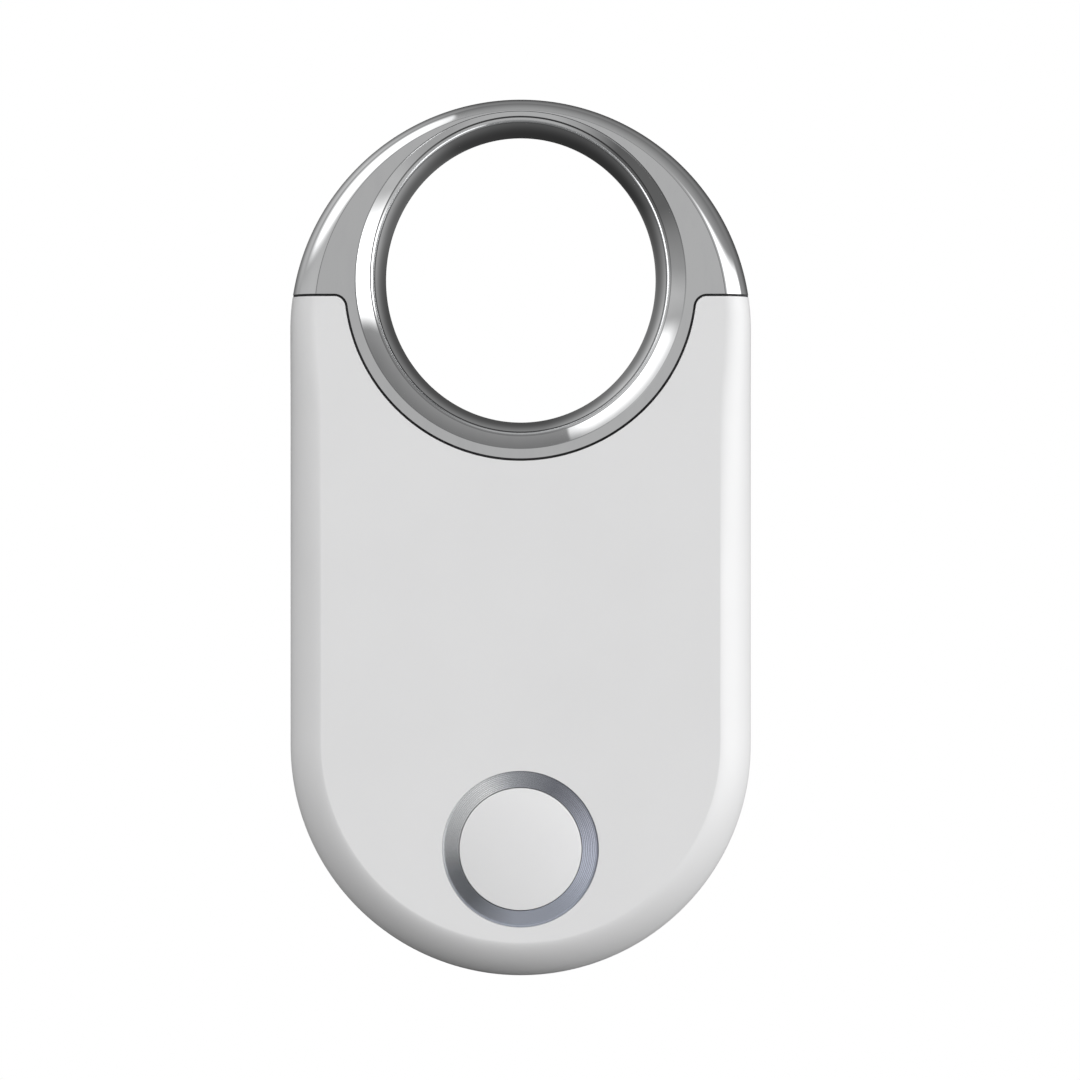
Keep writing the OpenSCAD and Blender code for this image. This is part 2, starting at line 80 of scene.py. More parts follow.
class Form:
    """A mesh in the making, in millimetres, shaped with bmesh operators."""

    def __init__(self, bm: Optional[bmesh.types.BMesh] = None) -> None:
        """Start from a bmesh, or from an empty one."""
        self.bm = bm or bmesh.new()

    @classmethod
    def turned(cls, profile: Sequence[Point], centre: Point, steps: int = 160) -> "Form":
        """Spin a closed profile about a vertical axis.

        Args:
            profile: (radius, height) points in order round the section.
            centre: where the axis stands.
            steps: how many sides the turned form has.

        Returns:
            The closed form.
        """
        form = cls()
        verts = [form.bm.verts.new((centre[0] + r, centre[1], z)) for r, z in profile]
        edges = [form.bm.edges.new(pair) for pair in zip(verts, verts[1:] + verts[:1])]
        bmesh.ops.spin(form.bm, geom=verts + edges, cent=(*centre, 0), axis=(0, 0, 1),
                       angle=2 * math.pi, steps=steps, use_merge=True)
        return form.tidied()

    def tidied(self) -> "Form":
        """Merge doubles and dead edges, and turn the faces outwards.

        Returns:
            This form.
        """
        bmesh.ops.remove_doubles(self.bm, verts=self.bm.verts[:], dist=1e-5)
        bmesh.ops.dissolve_degenerate(self.bm, edges=self.bm.edges[:], dist=1e-6)
        bmesh.ops.recalc_face_normals(self.bm, faces=self.bm.faces[:])
        return self

    def softened(self, width: float, segments: int = 3, over: float = 40.0) -> "Form":
        """Round the edges that are sharper than an angle.

        Args:
            width: how wide the rounding is.
            segments: how many faces it has.
            over: the least angle in degrees between two faces.

        Returns:
            This form.
        """
        sharp = [e for e in self.bm.edges
                 if len(e.link_faces) == 2 and e.calc_face_angle(0) > math.radians(over)]
        bmesh.ops.bevel(self.bm, geom=sharp, offset=width, offset_type="OFFSET",
                        segments=segments, profile=0.5, affect="EDGES", material=-1,
                        clamp_overlap=True)
        return self

    def flipped(self, height: float) -> "Form":
        """Turn the form upside down about the plane at that height."""
        bmesh.ops.scale(self.bm, vec=(1, 1, -1), verts=self.bm.verts[:],
                        space=Matrix.Translation((0, 0, -height)))
        return self.tidied()

    def doubled(self, height: float) -> "Form":
        """Add the mirror image about the plane at that height."""
        bmesh.ops.mirror(self.bm, geom=self.bm.verts[:] + self.bm.edges[:] + self.bm.faces[:],
                         matrix=Matrix.Translation((0, 0, -height)), merge_dist=1e-4, axis="Z")
        return self.tidied()

    def joined(self, others: Sequence["Form"]) -> "Form":
        """Take in the meshes of other forms.

        Args:
            others: the forms, which are left as they were.

        Returns:
            This form.
        """
        for other in others:
            mesh = bpy.data.meshes.new("part")
            other.bm.to_mesh(mesh)
            self.bm.from_mesh(mesh)
            bpy.data.meshes.remove(mesh)
        return self

    def as_object(self, name: str) -> bpy.types.Object:
        """Write the form to a new object in the scene.

        Args:
            name: the name of the object and of its mesh.

        Returns:
            The object.
        """
        mesh = bpy.data.meshes.new(name)
        self.bm.to_mesh(mesh)
        made = bpy.data.objects.new(name, mesh)
        bpy.context.scene.collection.objects.link(made)
        return made

    def combined(self, how: Cut, tools: Sequence["Form"]) -> "Form":
        """Cut this form with others, or keep what they share.

        Args:
            how: away with what the tools cover, or only that kept.
            tools: closed forms.

        Returns:
            The new form.
        """
        base = self.as_object("base")
        helpers = [tool.as_object("tool") for tool in tools]
        for helper in helpers:
            step = base.modifiers.new("cut", "BOOLEAN")
            step.operation, step.solver, step.object = how.value, "EXACT", helper
        graph = bpy.context.evaluated_depsgraph_get()
        mesh = bpy.data.meshes.new_from_object(base.evaluated_get(graph))
        result = Form()
        result.bm.from_mesh(mesh)
        for spent in [base, *helpers]:
            data = spent.data
            bpy.data.objects.remove(spent)
            bpy.data.meshes.remove(data)
        bpy.data.meshes.remove(mesh)
        return result


class Pen:
    """Draws a closed outline of straight runs and arcs, then raises it to a solid."""

    def __init__(self, start: Point) -> None:
        """Put the pen down at a point."""
        self.bm = bmesh.new()
        self.tip = self.bm.verts.new((*start, 0))

    def line(self, to: Point) -> "Pen":
        """Draw a straight run.

        Args:
            to: the point that it ends at.

        Returns:
            This pen.
        """
        made = bmesh.ops.extrude_vert_indiv(self.bm, verts=[self.tip])
        self.tip = made["verts"][0]
        self.tip.co = (*to, 0)
        return self

    def arc(self, centre: Point, degrees: float, steps: int) -> "Pen":
        """Swing the pen about a centre.

        Args:
            centre: the middle of the arc.
            degrees: how far it swings, anticlockwise if positive.
            steps: how many straight runs the arc has.

        Returns:
            This pen.
        """
        made = bmesh.ops.spin(self.bm, geom=[self.tip], cent=(*centre, 0), axis=(0, 0, 1),
                              angle=math.radians(degrees), steps=steps, use_merge=False)
        self.tip = next(g for g in made["geom_last"] if isinstance(g, bmesh.types.BMVert))
        return self

    def raised(self, low: float, high: float) -> Form:
        """Close the outline and give it height.

        Args:
            low: the height of its underside.
            high: the height of its top.

        Returns:
            The closed form.
        """
        bmesh.ops.remove_doubles(self.bm, verts=self.bm.verts[:], dist=1e-4)
        bmesh.ops.contextual_create(self.bm, geom=self.bm.edges[:])
        bmesh.ops.translate(self.bm, vec=(0, 0, low), verts=self.bm.verts[:])
        made = bmesh.ops.extrude_face_region(self.bm, geom=self.bm.faces[:])
        top = [g for g in made["geom"] if isinstance(g, bmesh.types.BMVert)]
        bmesh.ops.translate(self.bm, vec=(0, 0, high - low), verts=top)
        return Form(self.bm).tidied()


class Loft:
    """A ring of stations, extruded row by row to new places."""

    def __init__(self, lines: Sequence["Station"], place: Callable[["Station"], Vector]) -> None:
        """Lay the first row.

        Args:
            lines: the stations, each with one point in every row.
            place: where a station's point goes.
        """
        self.lines = lines
        self.bm = bmesh.new()
        self.layer = self.bm.verts.layers.int.new("station")
        ring = bmesh.ops.create_circle(self.bm, cap_ends=False, segments=len(lines), radius=1)
        for number, vert in enumerate(ring["verts"]):
            vert[self.layer] = number
            vert.co = place(lines[number])
        self.edges = self.bm.edges[:]

    def row(self, place: Callable[["Station"], Vector]) -> "Loft":
        """Extrude one more row.

        Args:
            place: where a station's point goes.

        Returns:
            This loft.
        """
        made = bmesh.ops.extrude_edge_only(self.bm, edges=self.edges)["geom"]
        verts = {g for g in made if isinstance(g, bmesh.types.BMVert)}
        for vert in verts:
            vert.co = place(self.lines[vert[self.layer]])
        self.edges = [g for g in made if isinstance(g, bmesh.types.BMEdge)
                      and g.verts[0] in verts and g.verts[1] in verts]
        return self


# ------------------------------------------------------------ shader language


class Value:
    """A socket or a number in a shader expression."""

    def __init__(self, net: "Net", socket: Any) -> None:
        """Wrap one output socket of a node tree."""
        self.net, self.socket = net, socket

    def __add__(self, other: Any) -> "Value":
        """Sum."""
        return self.net.math("ADD", self, other)

    def __sub__(self, other: Any) -> "Value":
        """Difference."""
        return self.net.math("SUBTRACT", self, other)

    def __rsub__(self, other: Any) -> "Value":
        """Difference from a number."""
        return self.net.math("SUBTRACT", other, self)

    def __mul__(self, other: Any) -> "Value":
        """Product."""
        return self.net.math("MULTIPLY", self, other)

    def __truediv__(self, other: Any) -> "Value":
        """Quotient."""
        return self.net.math("DIVIDE", self, other)

    def __pow__(self, other: Any) -> "Value":
        """Power."""
        return self.net.math("POWER", self, other)

    __radd__ = __add__
    __rmul__ = __mul__

    def eased(self, start: float, end: float) -> "Value":
        """0 before start, 1 after end, and smooth between them."""
        made = self.net.node("ShaderNodeMapRange", {"interpolation_type": "SMOOTHSTEP"},
                             {"Value": self, "From Min": start, "From Max": end})
        return Value(self.net, made.outputs["Result"])


class Net:
    """A node tree under construction."""

    def __init__(self, tree: bpy.types.NodeTree) -> None:
        """Empty the tree."""
        self.tree = tree
        tree.nodes.clear()

    def node(self, kind: str, settings: Optional[Dict[str, Any]] = None,
             inputs: Optional[Dict[Union[str, int], Any]] = None) -> bpy.types.Node:
        """Add a node.

        Args:
            kind: the node's type.
            settings: its properties, and "ramp" for a colour ramp's (position, colour) stops.
            inputs: a number, colour or Value for each named or numbered socket.

        Returns:
            The node.
        """
        made = self.tree.nodes.new(kind)
        for key, value in (settings or {}).items():
            if key == "ramp":
                stops = made.color_ramp.elements
                while len(stops) < len(value):
                    stops.new(0.5)
                for stop, (position, colour) in zip(stops, value):
                    stop.position, stop.color = position, (*colour, 1)
            else:
                setattr(made, key, value)
        for key, value in (inputs or {}).items():
            socket = made.inputs[key]
            if isinstance(value, Value):
                self.tree.links.new(value.socket, socket)
            elif isinstance(value, tuple) and len(value) == 3 and socket.type == "RGBA":
                socket.default_value = (*value, 1)
            else:
                socket.default_value = value
        return made

    def math(self, operation: str, *values: Any) -> Value:
        """A Math node on numbers or Values."""
        made = self.node("ShaderNodeMath", {"operation": operation},
                         {i: v for i, v in enumerate(values)})
        return Value(self, made.outputs[0])

    def vector(self, operation: str, *values: Any) -> Value:
        """A Vector Math node whose result is a vector."""
        made = self.node("ShaderNodeVectorMath", {"operation": operation},
                         {i: v for i, v in enumerate(values)})
        return Value(self, made.outputs["Vector"])

    def parts(self, vector: Value) -> Tuple[Value, Value, Value]:
        """The three numbers of a vector."""
        made = self.node("ShaderNodeSeparateXYZ", None, {0: vector})
        return tuple(Value(self, made.outputs[i]) for i in range(3))

    def blend(self, share: Any, first: Any, second: Any) -> Value:
        """Mix two colours."""
        made = self.node("ShaderNodeMix", {"data_type": "RGBA"}, {0: share, 6: first, 7: second})
        return Value(self, made.outputs[2])

    def noise(self, place: Value, scale: float, detail: float = 3, rough: float = 0.5) -> Value:
        """Noise from 0 to 1 at a scale per millimetre."""
        made = self.node("ShaderNodeTexNoise", None,
                         {"Vector": place, "Scale": scale, "Detail": detail, "Roughness": rough})
        return Value(self, made.outputs[0])


# -------------------------------------------------------------------- finishes


class Grain(Enum):
    """What a surface shows close up."""

    MOULDED = "fine moulded texture"
    POLISHED = "mirror with faint wiping marks"
    TURNED = "rings left by a lathe"
    DRAWN = "straight brushed streaks"
    SOFT = "matt rubber or foam cells"
    BOARD = "solder mask over copper"
    SPECKLED = "pressed powder or ceramic"


@dataclass(frozen=True)
class Finish:
    """One material: its colours, gloss and grain.

    Args:
        name: the material's name.
        colour: the main colour, linear.
        second: the colour that the grain brings in.
        metallic: 0 or 1.
        roughness: the middle roughness.
        spread: how far the roughness strays.
        grain: what the surface shows.
        pitch: how many grains there are in a millimetre.
        depth: how strong the grain's bump is.
        coat: the weight of a clear coat.
        centre: the middle of turned rings.
    """

    name: str
    colour: Colour
    second: Colour
    metallic: float = 0.0
    roughness: float = 0.4
    spread: float = 0.06
    grain: Grain = Grain.MOULDED
    pitch: float = 4.0
    depth: float = 0.05
    coat: float = 0.0
    centre: Point = (0.0, 0.0)

    def material(self) -> bpy.types.Material:
        """Build the node material, once.

        Returns:
            The material.
        """
        if self.name in bpy.data.materials:
            return bpy.data.materials[self.name]
        made = bpy.data.materials.new(self.name)
        made.use_nodes = True
        net = Net(made.node_tree)
        coords = net.node("ShaderNodeTexCoord")
        place = net.vector("MULTIPLY", Value(net, coords.outputs["Object"]), (1000, 1000, 1000))
        share, height = self._pattern(net, place)
        wide = net.noise(place, 0.35, 2)
        rough = share * self.spread + (wide * self.spread + (self.roughness - self.spread))
        bump = net.node("ShaderNodeBump", None,
                        {"Strength": self.depth, "Distance": 0.00002, "Height": height})
        body = net.node("ShaderNodeBsdfPrincipled", None, {
            "Base Color": self._colour(net, place, share),
            "Metallic": self.metallic,
            "Roughness": rough,
            "Coat Weight": self.coat,
            "Coat Roughness": 0.12,
            "Normal": Value(net, bump.outputs[0]),
        })
        net.node("ShaderNodeOutputMaterial", None, {0: Value(net, body.outputs[0])})
        return made

    def _colour(self, net: Net, place: Value, share: Value) -> Value:
        """The colour over the surface."""
        return net.blend(share, self.colour, self.second)

    def _pattern(self, net: Net, place: Value) -> Tuple[Value, Value]:
        """The grain over the surface.

        Args:
            net: the material's nodes.
            place: the point on the surface, in millimetres.

        Returns:
            The grain as a share from 0 to 1, and as a height.
        """
        if self.grain is Grain.TURNED:
            x, y, _ = net.parts(place)
            away = ((x - self.centre[0]) ** 2.0 + (y - self.centre[1]) ** 2.0) ** 0.5
            rings = net.math("SINE", away * (2 * math.pi * self.pitch))
            fine = net.noise(away / 3, self.pitch * 2, 4)
            return fine, rings * 0.3 + fine
        if self.grain is Grain.DRAWN:
            streaks = net.noise(net.vector("MULTIPLY", place, (0.25, 6.0, 6.0)), self.pitch, 5, 0.6)
            return streaks, streaks
        if self.grain is Grain.SOFT:
            cells = net.node("ShaderNodeTexVoronoi", {"feature": "F1"},
                             {"Vector": place, "Scale": self.pitch})
            depth = Value(net, cells.outputs["Distance"])
            return depth, depth + net.noise(place, self.pitch * 3)
        if self.grain is Grain.BOARD:
            grid = net.node("ShaderNodeTexBrick", {"offset": 0.37, "squash": 1.0}, {
                "Vector": place, "Scale": self.pitch, "Mortar Size": 0.02,
                "Mortar Smooth": 0.2, "Brick Width": 1.3, "Row Height": 0.45})
            lines = Value(net, grid.outputs["Fac"])
            return lines * 0.6 + net.noise(place, 2.0) * 0.2, lines
        if self.grain is Grain.SPECKLED:
            dots = net.noise(place, self.pitch, 6, 0.7).eased(0.35, 0.7)
            return dots, dots
        if self.grain is Grain.POLISHED:
            wiped = net.noise(net.vector("MULTIPLY", place, (1.0, 0.3, 1.0)), self.pitch, 4, 0.6)
            return wiped.eased(0.4, 0.8), net.noise(place, 0.6, 1)
        fine = net.noise(place, self.pitch, 4, 0.6)
        return net.noise(place, 0.12, 3).eased(0.3, 0.75), fine


@dataclass(frozen=True)
class PaintedReflectionRing(Finish):
    """Turned metal whose colour is painted lighter and darker round the ring as painted highlights
    and dark reflections, with the lathe's rings as its grain.

    Args:
        painted_reflection_tones: (degrees from +X, colour) stops of the painted highlights and dark
            reflections, in rising order, from -180 to 180.
    """

    painted_reflection_tones: Tuple[Tuple[float, Colour], ...] = ()

    def _colour(self, net: Net, place: Value, share: Value) -> Value:
        """The ring's painted highlights and dark reflections by bearing, with a little of the
        grain.

        Args:
            net: the material's nodes.
            place: the point on the surface, in millimetres.
            share: the grain, from 0 to 1.

        Returns:
            The colour.
        """
        # the colour is painted lighter and darker by bearing round the ring, as highlights and dark
        # reflections
        x, y, _ = net.parts(place)
        turn = net.math("ARCTAN2", y - self.centre[1], x - self.centre[0])
        stops = [((degrees + 180) / 360, colour) for degrees, colour in self.painted_reflection_tones]
        ramp = net.node("ShaderNodeValToRGB", {"ramp": stops},
                        {"Fac": turn / (2 * math.pi) + 0.5})
        return net.blend(share * 0.12, Value(net, ramp.outputs[0]), self.second)


WHITE = Finish("case_white", (0.69, 0.69, 0.693), (0.675, 0.675, 0.678), roughness=0.34,
               spread=0.03, pitch=9.0, depth=0.03)
CAP_WHITE = Finish("button_white", (0.70, 0.70, 0.703), (0.685, 0.685, 0.69), roughness=0.36,
                   spread=0.03, pitch=9.0, depth=0.03)
DOOR_WHITE = Finish("door_white", (0.71, 0.71, 0.715), (0.69, 0.69, 0.695), roughness=0.42,
                    spread=0.04, pitch=7.0, depth=0.05)
MIRROR = Finish("loop_metal", (0.93, 0.935, 0.94), (0.90, 0.905, 0.915), metallic=1.0,
                roughness=0.055, spread=0.02, grain=Grain.POLISHED, pitch=1.2, depth=0.01)
STEEL = Finish("cell_steel", (0.72, 0.72, 0.73), (0.60, 0.60, 0.61), metallic=1.0,
               roughness=0.28, grain=Grain.DRAWN, pitch=1.5, depth=0.08)
SCREW = Finish("screw_steel", (0.42, 0.42, 0.44), (0.30, 0.30, 0.32), metallic=1.0,
               roughness=0.35, grain=Grain.DRAWN, pitch=3.0, depth=0.1)
CAN = Finish("crystal_can", (0.70, 0.70, 0.69), (0.58, 0.58, 0.58), metallic=1.0,
             roughness=0.32, grain=Grain.DRAWN, pitch=3.0, depth=0.06)
GOLD = Finish("contact_gold", (0.86, 0.66, 0.30), (0.74, 0.53, 0.22), metallic=1.0,
              roughness=0.25, grain=Grain.DRAWN, pitch=2.5, depth=0.05)
BRASS = Finish("sounder_brass", (0.76, 0.58, 0.26), (0.62, 0.45, 0.2), metallic=1.0,
               roughness=0.35, grain=Grain.TURNED, pitch=3.0, depth=0.06)
RUBBER = Finish("seal_black", (0.035, 0.035, 0.037), (0.06, 0.06, 0.062), roughness=0.7,
                grain=Grain.SOFT, pitch=8.0, depth=0.15)
ORANGE = Finish("seal_orange", (0.62, 0.20, 0.05), (0.52, 0.15, 0.04), roughness=0.45,
                grain=Grain.SOFT, pitch=6.0, depth=0.06)
SILICONE = Finish("pad_silicone", (0.72, 0.74, 0.76), (0.62, 0.64, 0.66), roughness=0.4,
                  grain=Grain.SOFT, pitch=5.0, depth=0.08)
FOAM = Finish("door_foam", (0.05, 0.05, 0.053), (0.015, 0.015, 0.016), roughness=0.9,
              grain=Grain.SOFT, pitch=5.0, depth=0.6)
MASK = Finish("board_green", (0.012, 0.10, 0.055), (0.05, 0.21, 0.10), roughness=0.3,
              grain=Grain.BOARD, pitch=0.55, depth=0.2, coat=0.3)
PACKAGE = Finish("chip_black", (0.03, 0.03, 0.033), (0.05, 0.05, 0.053), roughness=0.6,
                 grain=Grain.SPECKLED, pitch=12.0, depth=0.1)
FERRITE = Finish("inductor_grey", (0.10, 0.10, 0.105), (0.16, 0.16, 0.165), roughness=0.65,
                 grain=Grain.SPECKLED, pitch=10.0, depth=0.15)
TANTALUM = Finish("capacitor_amber", (0.68, 0.42, 0.06), (0.58, 0.34, 0.04), roughness=0.5,
                  grain=Grain.SPECKLED, pitch=8.0, depth=0.06)
BUFF = Finish("capacitor_buff", (0.42, 0.29, 0.17), (0.34, 0.23, 0.13), roughness=0.5,
              grain=Grain.SPECKLED, pitch=14.0, depth=0.06)
CREAM = Finish("ceramic_cream", (0.80, 0.79, 0.72), (0.70, 0.69, 0.62), roughness=0.5,
               grain=Grain.SPECKLED, pitch=9.0, depth=0.08)
IVORY = Finish("plunger_ivory", (0.74, 0.70, 0.58), (0.66, 0.62, 0.50), roughness=0.45,
               pitch=8.0, depth=0.04)
TAPE = Finish("sounder_tape", (0.03, 0.03, 0.03), (0.05, 0.05, 0.05), roughness=0.8,
              grain=Grain.SOFT, pitch=7.0, depth=0.2)


def dress(thing: bpy.types.Object, finish: Finish) -> bpy.types.Object:
    """Give an object one finish all over."""
    thing.data.materials.clear()
    thing.data.materials.append(finish.material())
    return thing


@dataclass
class Piece:
    """A finished form, ready to stand for CAD nodes.

    Args:
        name: the object's name.
        form: its mesh in millimetres.
        finish: its material.
        body: the body it moves with.
        node: the CAD node that it stands for.
        slot: the record's material slot; not used.
        crease: the angle in degrees past which an edge stays sharp.
    """

    name: str
    form: Form
    finish: Finish
    body: str
    node: str
    slot: str
    crease: float = 28.0

    def place(self) -> bpy.types.Object:
        """Put the piece in the scene, smooth but for its sharp edges.

        Returns:
            The piece's object.
        """
        bm = self.form.bm
        for face in bm.faces:
            face.smooth = True
        for edge in bm.edges:
            angle = edge.calc_face_angle(math.pi) if len(edge.link_faces) == 2 else math.pi
            edge.smooth = angle < math.radians(self.crease)
        bmesh.ops.scale(bm, vec=(MM, MM, MM), verts=bm.verts[:])
        made = self.form.as_object(self.name)
        made.data.name = self.name
        dress(made, self.finish)
        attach(made, self.body)
        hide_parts(self.node)
        LOG.info("%s: %d faces", self.name, len(made.data.polygons))
        return made


# ---------------------------------------------------------------- outer shape


@dataclass(frozen=True)
class Station:
    """One direction from the middle of the hole, with the lines that cross it.

    Args:
        waist: the hole's narrowest line, at mid-thickness.
        crease: where the hole's wall meets the dished lip.
        rim: where the lip meets the face.
        flat: where the face ends and the outer rounding begins.
        edge: the outer side.
        depth: how deep the outer rounding reaches.
        power: 1 for a rounding that is a quarter oval, more for a flatter, faster one.
    """

    waist: Vector
    crease: Vector
    rim: Vector
    flat: Vector
    edge: Vector
    depth: float
    power: float

    def lip_drop(self, share: float) -> float:
        """How far the dished lip lies below the face.

        Args:
            share: how far across the lip, from 0 at the rim to 1 at the crease.

        Returns:
            The drop.
        """
        step, steep, hollow = 0.12, 0.95, 0.20
        if share == 0:
            return 0.0
        return step + (self.rim - self.crease).length * (steep * share - hollow * share ** 2)

    def strip_share(self, strip: float) -> float:
        """The share of the face's width that a narrow strip along its side takes."""
        span = (self.flat - self.rim).length
        return min(strip, span / 4) / span


@dataclass
class TagOutline:
    """The pill-shaped outside of the tag with its oval hole."""

    half_w: float
    half_l: float
    thick: float
    stations: int = 720
    hole_y: float = 16.96
    waist: Point = (8.85, 9.35)
    crease: Point = (9.79, 10.37)
    crease_y: float = 17.0
    rim: Point = (10.73, 10.93)
    rim_y: float = 16.72
    strip: float = 0.05          # a narrow strip that keeps the face's shading flat
    rim_step: float = 0.08       # share of the lip's width that its steep edge takes
    groove: Point = (0.08, 0.28)  # share of the wall's width, and depth, of the line under the lip
    wall_start: float = 18.0     # how many degrees of the wall's curve the line cuts off
    side_round: float = 2.1      # width of the rounding along the sides
    end_round: float = 2.35      # width of the rounding at the button's end
    crest_round: float = 0.79    # width of the rounding at the loop's outer end
    turn_round: float = 1.78     # width of the rounding where the loop's arc meets the sides
    round_blend: float = 6.0     # length of side over which the rounding widens
    fall: Point = (0.6, 0.72)    # depth of the rounding: a least value, and a share of its width
    case_power: float = 1.43     # how fast the case's rounding turns from the face
    power_blend: float = 16.0    # length of side over which it comes to turn as fast
    wall_rows: int = 16
    lip_rows: int = 7
    shoulder_rows: int = 18
    seam_r: float = 11.35        # radius of the seam's round part
    seam_low: float = 5.1        # its lowest point
    shoulder_y: float = 15.75    # the seam's straight parts
    corner_r: float = 0.8        # rounding of the case's corners at the seam
    gap: float = 0.16            # width of the seam
    lines: List[Station] = field(default_factory=list)

    def __post_init__(self) -> None:
        """Work out every station."""
        self.arc_y = self.half_l - self.half_w
        self.seam_y = self.seam_low + self.seam_r
        turns = [2 * math.pi * i / self.stations for i in range(self.stations)]
        self.lines = [self._station(turn) for turn in turns]

    def _station(self, turn: float) -> Station:
        """Find the lines that one direction crosses.

        Args:
            turn: the direction, in radians from +X.

        Returns:
            The station.
        """
        aim = Vector((math.cos(turn), math.sin(turn), 0))

        def oval(size: Point, middle: float) -> Vector:
            """A point on an oval about the hole's axis."""
            return Vector((size[0] * aim.x, middle + size[1] * aim.y, 0))

        edge, out = self._edge(aim)
        width = self._rounding(edge)
        share = min(1.0, max(0.0, (self.arc_y - edge.y) / self.power_blend))
        return Station(oval(self.waist, self.hole_y), oval(self.crease, self.crease_y),
                       oval(self.rim, self.rim_y), edge - out * width, edge,
                       self.fall[0] + self.fall[1] * width, 1 + (self.case_power - 1) * share)

    def _edge(self, aim: Vector) -> Tuple[Vector, Vector]:
        """Follow a ray from the hole's middle to the outer side.

        Args:
            aim: the ray's direction.

        Returns:
            Where the ray meets the side, and the side's normal there.
        """
        start = Vector((0, self.hole_y, 0))
        far = start + aim * (self.half_w / max(abs(aim.x), 1e-9))
        if abs(far.y) <= self.arc_y:
            return far, Vector((math.copysign(1, aim.x), 0, 0))
        centre = Vector((0, math.copysign(self.arc_y, far.y), 0))
        lag = start - centre
        along = lag.dot(aim)
        far = start + aim * (math.sqrt(along ** 2 - lag.length_squared + self.half_w ** 2) - along)
        return far, (far - centre).normalized()

    def _rounding(self, edge: Vector) -> float:
        """How wide the outer rounding is.

        Args:
            edge: a point on the outer side.

        Returns:
            The width there.
        """
        above = (edge.y - self.arc_y) / self.half_w
        if above > 0:
            return self.turn_round + (self.crest_round - self.turn_round) * above
        if edge.y > -self.arc_y:
            share = min(1.0, (self.arc_y - edge.y) / self.round_blend)
            share = share * share * (3 - 2 * share)
            return self.turn_round + (self.side_round - self.turn_round) * share
        below = (-self.arc_y - edge.y) / self.half_w
        return self.side_round + (self.end_round - self.side_round) * below

    def half(self) -> Form:
        """Loft the front half, row by row from the hole's waist round to the waist again.

        Returns:
            A closed form, from mid-thickness up.
        """
        middle, top = self.thick / 2, self.thick
        share, depth = self.groove
        start = math.radians(self.wall_start)

        def wall(turn: float) -> Callable[[Station], Vector]:
            """A row on the hole's wall, a quarter turn of an oval at the waist."""
            out = (1 - share) * (1 - math.sin(turn)) / (1 - math.sin(start))
            rise = math.cos(turn) / math.cos(start)
            return lambda line: line.waist.lerp(line.crease, out) + Vector(
                (0, 0, middle + (top - line.lip_drop(1) - depth - middle) * rise))

        def lip(along: float) -> Callable[[Station], Vector]:
            """A row on the dished lip, a share of its width from the rim."""
            return lambda line: line.rim.lerp(line.crease, along) + Vector(
                (0, 0, top - line.lip_drop(along)))

        def face(across: int) -> Callable[[Station], Vector]:
            """A row just inside the flat face's inner side, 0, or its outer side, 1."""
            return lambda line: line.rim.lerp(
                line.flat, abs(across - line.strip_share(self.strip))) + Vector((0, 0, top))

        def shoulder(turn: float) -> Callable[[Station], Vector]:
            """A row on the outer rounding, a quarter turn at the side."""
            return lambda line: line.flat.lerp(line.edge, math.sin(turn) ** line.power) + Vector(
                (0, 0, top - line.depth * (1 - max(math.cos(turn), 0) ** line.power)))

        quarter = math.pi / 2
        loft = Loft(self.lines, wall(quarter))
        for step in range(self.wall_rows - 1, -1, -1):
            loft.row(wall(start + (quarter - start) * step / self.wall_rows))
        for step in range(self.lip_rows, -1, -1):
            loft.row(lip(self.rim_step + (1 - self.rim_step) * step / self.lip_rows))
        loft.row(lip(0))
        loft.row(face(0))
        loft.row(face(1))
        for step in range(self.shoulder_rows + 1):
            loft.row(shoulder(quarter * step / self.shoulder_rows))
        loft.row(lambda line: line.edge + Vector((0, 0, middle)))
        loft.row(wall(quarter))
        return Form(loft.bm).tidied()

    def loop_side(self, grow: float, low: float = -5.0, high: float = 15.0) -> Form:
        """What lies on the loop's side of the seam.

        Args:
            grow: how far its outline is moved towards the case.
            low: its lowest height.
            high: its highest height.

        Returns:
            A closed form.
        """
        across, beyond = 40.0, 60.0      # well outside the tag
        corner_steps, seam_steps = 12, 160
        fillet = max(self.corner_r - grow, 0.02)
        line = self.shoulder_y - grow
        corner_y = line - fillet
        reach = self.seam_r + grow + fillet
        corner_x = math.sqrt(reach ** 2 - (corner_y - self.seam_y) ** 2)
        lean = math.degrees(math.atan2(corner_y - self.seam_y, corner_x))
        pen = Pen((-across, line)).line((-corner_x, line))
        pen.arc((-corner_x, corner_y), -(90 + lean), corner_steps)
        pen.arc((0, self.seam_y), 180 + 2 * lean, seam_steps)
        pen.arc((corner_x, corner_y), -(90 + lean), corner_steps)
        return pen.line((across, line)).line((across, beyond)).line((-across, beyond)).line(
            (-across, line)).raised(low, high)

    def gasket(self, width: float, sunk: float, bottom: float) -> Form:
        """The dark strip in the seam, which follows the surface a little below it and stands in for
        the shade in the seam's gap.

        Args:
            width: how wide it is.
            sunk: how far its top lies below the surface.
            bottom: its lowest height.

        Returns:
            A closed form.
        """
        strip = self.half().combined(Cut.SHARED, [self.loop_side(width / 2)]).combined(
            Cut.AWAY, [self.loop_side(-width / 2)])
        bmesh.ops.translate(strip.bm, vec=(0, 0, -sunk), verts=strip.bm.verts[:])
        across, along = self.half_w + 1, self.half_l + 1
        return strip.combined(Cut.AWAY, [block((-across, across), (-along, along), (-1, bottom))])

    def room(self, inset: float, low: float, high: float) -> Form:
        """The pill-shaped room inside the case, square-cornered.

        Args:
            inset: how far it stays inside the tag's outline.
            low: its floor.
            high: its ceiling.

        Returns:
            A closed form.
        """
        r, y = self.half_w - inset, self.arc_y
        pen = Pen((r, -y)).line((r, y)).arc((0, y), 180, 64).line((-r, -y)).arc((0, -y), 180, 64)
        return pen.raised(low, high)


def post(centre: Point, radius: float, low: float, high: float, steps: int = 96) -> Form:
    """A plain round post or bore."""
    return Form.turned([(0, low), (radius, low), (radius, high), (0, high)], centre, steps)


